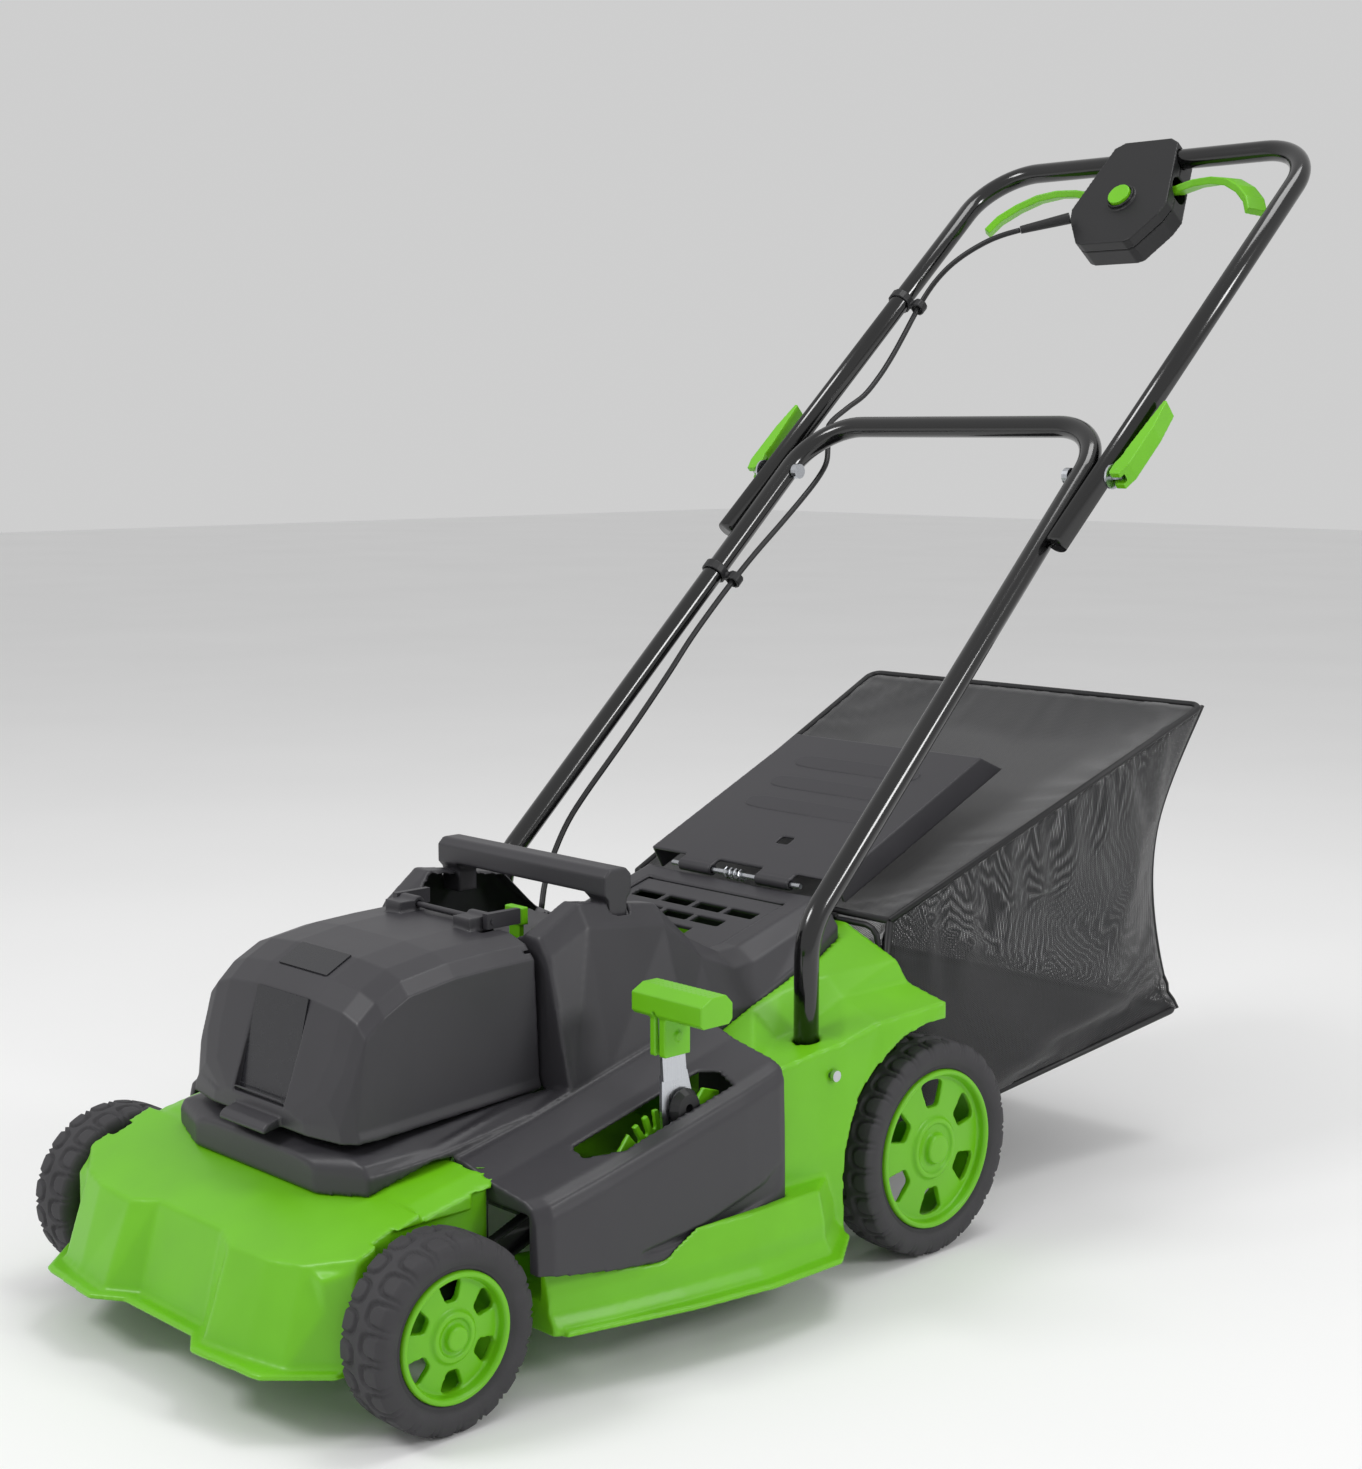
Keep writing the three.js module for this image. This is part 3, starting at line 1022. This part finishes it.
// a curved strip that starts at the box and ends in front of the tube's corner
function makeBail(side) {
  const a = bailAxis();
  const stations = [at(18, a.y, a.z), at(54, a.y, a.z), at(78, a.y + 1, a.z + 6), at(104, a.y - 2, a.z + 7),
    at(128, a.y - 8, a.z + 3), at(150, a.y - 18, a.z - 7), at(168, a.y - 30, a.z - 20),
    at(178, a.y - 40, a.z - 34)];
  const route = new Route(stations);
  const outline = [[-4, -11], [4, -11], [4, 11], [-4, 11]];
  const section = new THREE.Shape(outline.map(([p, q]) => new THREE.Vector2(p, q)));
  const strip = toSolid(new THREE.ExtrudeGeometry(section, { steps: route.steps, extrudePath: route }));
  return side > 0 ? strip : mirrored(strip);
}

// ---------------------------------------------------------------- cable
// chosen by hand: from the box along the right-hand tubes into the deck
// the strain relief hangs below the top bar, with the switch box
const RELIEF = { behind: 73.5, below: 61.7 };
const RELIEF_START = at(-50, topBar.y - RELIEF.behind, topBar.z - RELIEF.below);
const RELIEF_END = RELIEF_START.clone().add(at(-46, -30, -12));
const CABLE_ROUTE = [RELIEF_END, at(-112, 1073, 955), at(-128, 1064, 948), at(-148, 1054, 936),
  at(-166, 1046, 922), at(-182, 1040, 905), at(-194, 1034, 886), at(-198, 1022, 866), at(-197, 1003, 843),
  at(-196, 983, 820), at(-195, 961, 798), at(-195, 936, 777), at(-196, 908, 762), at(-200, 884, 744),
  at(-192, 874, 722), at(-183, 862, 704), at(-176, 842, 688), at(-173, 816, 668), at(-174, 782, 640),
  at(-176, 744, 609), at(-178, 708, 577), at(-178, 676, 548), at(-177, 648, 522), at(-177, 620, 492),
  at(-179, 592, 461), at(-182, 564, 430), at(-185, 538, 402), at(-188, 514, 376), at(-190, 492, 350),
  at(-188, 472, 322), at(-182, 454, 294), at(-172, 440, 270)];

// the cable is whole; its two lengths meet beside the fold pivot
function cableStations() {
  const curve = new THREE.CatmullRomCurve3(CABLE_ROUTE);
  const stations = curve.getSpacedPoints(Math.round(curve.getLength() / (5.5 * CABLE_R)));
  const split = stations.findIndex((p) => p.y < CABLE_SPLIT_Y);
  return { upper: stations.slice(0, split + 1), lower: stations.slice(split) };
}

const CABLE_SPLIT_Y = 950;

function cableLength(stations, end) {
  const trimmed = stations.map((p) => p.clone());
  const [tip, next] = end === 0 ? [trimmed[0], trimmed[1]] : [trimmed.at(-1), trimmed.at(-2)];
  tip.lerp(next, GAP / tip.distanceTo(next));
  return pipe(trimmed, CABLE_R, 8);
}

function makeRelief() {
  return rod(RELIEF_START, RELIEF_END.clone().lerp(RELIEF_START, 0.01), 6.5, 12, 4.5);
}

const reliefSpace = () => rod(RELIEF_START.clone().lerp(RELIEF_END, -0.5), RELIEF_END, 6.5 + GAP, 12,
  4.5 + GAP);

// a clip on the tube that holds the cable beside it
function tubePoint(from, to, y) {
  return from.clone().lerp(to, (y - from.y) / (to.y - from.y));
}

const CLIPS = {
  upper: { from: at(-UPPER_X, pivot.y, pivot.z), to: at(-UPPER_X + 2, topBar.y, topBar.z), y: 1022 },
  lower: {
    from: at(-lowerBend.x, lowerBend.y, lowerBend.z),
    to: at(-LOWER_TOP.x, LOWER_TOP.y, LOWER_TOP.z),
    y: 706,
  },
};

function makeClip({ from, to, y }) {
  const centre = tubePoint(from, to, y);
  const along = to.clone().sub(from).normalize();
  const curve = new THREE.CatmullRomCurve3(CABLE_ROUTE);
  const near = curve.getSpacedPoints(400).reduce((best, p) => (
    Math.abs(p.clone().sub(centre).dot(along)) < Math.abs(best.clone().sub(centre).dot(along)) ? p : best));
  const span = (point, length, radius, sides) => rod(point.clone().addScaledVector(along, -length),
    point.clone().addScaledVector(along, length), radius, sides);
  const body = union(span(centre, 5, TUBE_R + 3, 14), span(near, 5, CABLE_R + 5.6, 10),
    rod(centre, near, 4.5, 8));
  return body.subtract(span(centre, 9, TUBE_R + GAP, 12)).subtract(span(near, 12, CABLE_R + 3.4, 8));
}

// ---------------------------------------------------------------- flap and bag
// positions on the flap: a along it from the hinge, h above its underside plane
const flapYZ = (a, h) => [FLAP_Y + a * Math.cos(FLAP_SLOPE) - h * Math.sin(FLAP_SLOPE),
  FLAP_Z + a * Math.sin(FLAP_SLOPE) + h * Math.cos(FLAP_SLOPE)];

function makeFlap() {
  const outer = sidePlate([flapYZ(13, -20), flapYZ(10, 6), flapYZ(FLAP_LENGTH, 6),
    flapYZ(FLAP_LENGTH + 26, -22)],
    -FLAP_HALF, FLAP_HALF);
  const inner = sidePlate([flapYZ(0, -40), flapYZ(0, 3), flapYZ(FLAP_LENGTH - 3, 3),
    flapYZ(FLAP_LENGTH + 60, -60)],
    -FLAP_HALF + 3, FLAP_HALF - 3);
  let flap = outer.subtract(inner);
  // neck that reaches the hinge
  flap = flap.add(sidePlate([flapYZ(4, 2.4), flapYZ(20, 2.4), flapYZ(20, 6), flapYZ(4, 6)], -74, 74));
  const knuckle = rodX(-74, 74, FLAP_Y, FLAP_Z, 6, 14)
    .add(sidePlate([flapYZ(-2, 0), flapYZ(6, 2.4), flapYZ(6, 6), flapYZ(0, 5.8)], -74, 74));
  flap = flap.add(knuckle).subtract(rodX(-90, 90, FLAP_Y, FLAP_Z, PIN_R + RUN, 12));
  // embossed ribs and the small window over the spring
  for (const a of [112, 152, 192]) {
    flap = flap.subtract(sidePlate([flapYZ(a, 5), flapYZ(a + 5, 5), flapYZ(a + 5, 8), flapYZ(a, 8)], -72, 72));
  }
  return flap.subtract(sidePlate([flapYZ(52, -4), flapYZ(64, -4), flapYZ(64, 12), flapYZ(52, 12)], 10, 26))
    .subtract(block(-30, FLAP_Y - 10, FLAP_Z - 10, 30, FLAP_Y + 8.5, FLAP_Z + 10));
}

function makeFlapPin() {
  return rodX(-86, 86, FLAP_Y, FLAP_Z, PIN_R, 12);
}

function makeFlapSpring() {
  const turns = 4;
  const points = [];
  for (let i = 0; i <= turns * 8; i += 1) {
    const angle = (i / 8) * Math.PI * 2;
    points.push(at(-13 + (26 * i) / (turns * 8), FLAP_Y + 5 * Math.cos(angle), FLAP_Z + 5 * Math.sin(angle)));
  }
  return pipe(points, 0.9, 5);
}

// the bag: corner points [x, z] of its front and back frames
const BAG_FRONT = { top: 294, low: 66, x: 172, xLow: 150 };
const BAG_BACK = { top: 463, low: 140, x: 225, xLow: 205 };
const BAG_TAB = { x0: 96, x1: 112, over: 11 };

function bagRing(t, wall) {
  const mix = (a, b) => a + (b - a) * t;
  const top = mix(BAG_FRONT.top, BAG_BACK.top) - wall;
  const low = mix(BAG_FRONT.low, BAG_BACK.low) + wall;
  const x = mix(BAG_FRONT.x, BAG_BACK.x) - wall;
  const xLow = mix(BAG_FRONT.xLow, BAG_BACK.xLow) - wall;
  const y = BAG_Y + t * BAG_LENGTH;
  return [[x, y, top], [xLow, y, low], [-xLow, y, low], [-x, y, top]];
}

function makeBag() {
  const outer = loft([bagRing(0, 0), bagRing(0.5, 0), bagRing(1, 0)]);
  const back = 1 - BAG_WALL / BAG_LENGTH;
  const inner = loft([bagRing(-0.05, BAG_WALL), bagRing(0.5, BAG_WALL), bagRing(back, BAG_WALL)]);
  return outer.subtract(inner);
}

function makeBagFrame() {
  // closed hoop of the mouth with two flat tabs that rest on the deck's rear edge
  const f = BAG_FRONT;
  const y = BAG_Y - 5;
  const corners = [at(0, y, f.top - 8), at(f.x - 8, y, f.top - 8), at(f.xLow - 8, y, f.low + 8),
    at(-f.xLow + 8, y, f.low + 8), at(-f.x + 8, y, f.top - 8), at(0, y, f.top - 8)];
  const hoop = pipe(rounded(corners, [14, 14, 14, 14], 3), 3, 8);
  const tab = block(BAG_TAB.x0, REAR_Y - BAG_TAB.over, f.top - 8 + 2.4, BAG_TAB.x1, y + 1, f.top - 8 + 6);
  return hoop.add(both(tab));
}

// ---------------------------------------------------------------- assembly
add('deck_shell', makeDeck(coverOuter), GREEN);
add('top_cover', makeCover(), DARK);
add('carry_handle', makeCarryHandle(), DARK);
add('vent_grille', makeGrille(), DARK);
add('safety_key', makeKey(), GREEN);
add('battery_bay', makeBay(), BLACK);
add('battery_pack', makePack(), BLACK);
add('battery_release_button', makeReleaseButton(), GREEN);
add('battery_lid', makeLid(), DARK);
add('lid_front_panel', panelInsert(FRONT_PANEL), BLACK);
add('lid_top_panel', panelInsert(TOP_PANEL), BLACK);
add('lid_hinge_bracket', makeLidBracket(), DARK);

add('motor', makeMotor(), STEEL);
add('motor_shaft', makeShaft(), ZINC);
add('blade_carrier', makeBladeCarrier(), BLACK);
add('cutting_blade', makeBlade(), STEEL);
add('blade_bolt', makeBladeBolt(), ZINC);

for (const [end, axle, radius, rimRadius] of [['front', frontAxle, FRONT_R, FRONT_RIM_R],
  ['rear', rearAxle, REAR_R, REAR_RIM_R]]) {
  for (const [hand, side] of [['left', 1], ['right', -1]]) {
    add(`${end}_${hand}_tyre`, makeTyre(side * (WHEEL_FACE_X - WHEEL_W / 2), axle, radius, rimRadius), RUBBER);
    add(`${end}_${hand}_rim`, makeRim(side, axle, rimRadius), GREEN);
  }
}
add('front_swing_frame', makeSwingFrame(frontSwing, frontAxle, true), STEEL);
add('rear_swing_frame', makeSwingFrame(rearSwing, rearAxle, false), STEEL);
add('tie_rod', makeTieRod(), STEEL);

add('height_lever_strip', makeLeverStrip(), ZINC);
add('height_lever_knob', makeLeverKnob(), GREEN);
add('height_lever_boss', makeLeverBoss(), BLACK);
add('height_lever_bolt', makeLeverBolt(), ZINC);
add('height_quadrant', makeQuadrant(), GREEN);

add('lower_handle', makeLowerHandle(), TUBE_PAINT);
add('upper_handle', makeUpperHandle(), TUBE_PAINT);
for (const [hand, side] of [['left', 1], ['right', -1]]) {
  add(`handle_screw_${hand}`, makeHandleScrew(side), ZINC);
  add(`pivot_bolt_${hand}`, makePivotBolt(side), ZINC);
  add(`pivot_washer_${hand}`, makePivotWasher(side), ZINC);
  add(`cam_lever_${hand}`, makeCamLever(side), GREEN);
  add(`bail_lever_${hand}`, makeBail(side), GREEN);
}
add('switch_box_front', makeBoxFront(), DARK);
add('switch_box_back', makeBoxBack(), BLACK);
add('start_button', makeStartButton(), GREEN);
add('strain_relief', makeRelief(), BLACK);
const cable = cableStations();
add('cable_upper', cableLength(cable.upper, 1), BLACK);
add('cable_lower', cableLength(cable.lower, 0), BLACK);
add('cable_clip_upper', makeClip(CLIPS.upper), BLACK);
add('cable_clip_lower', makeClip(CLIPS.lower), BLACK);

add('rear_flap', makeFlap(), DARK);
add('flap_pin', makeFlapPin(), ZINC);
add('flap_spring', makeFlapSpring(), ZINC);
add('bag_frame', makeBagFrame(), BLACK);
add('grass_bag', makeBag(), MESH);

// the origin is the bottom centre of the bounding box
const extent = new THREE.Box3().setFromObject(mower);
mower.position.set(0, -(extent.min.y + extent.max.y) / 2, -extent.min.z);

export default mower;
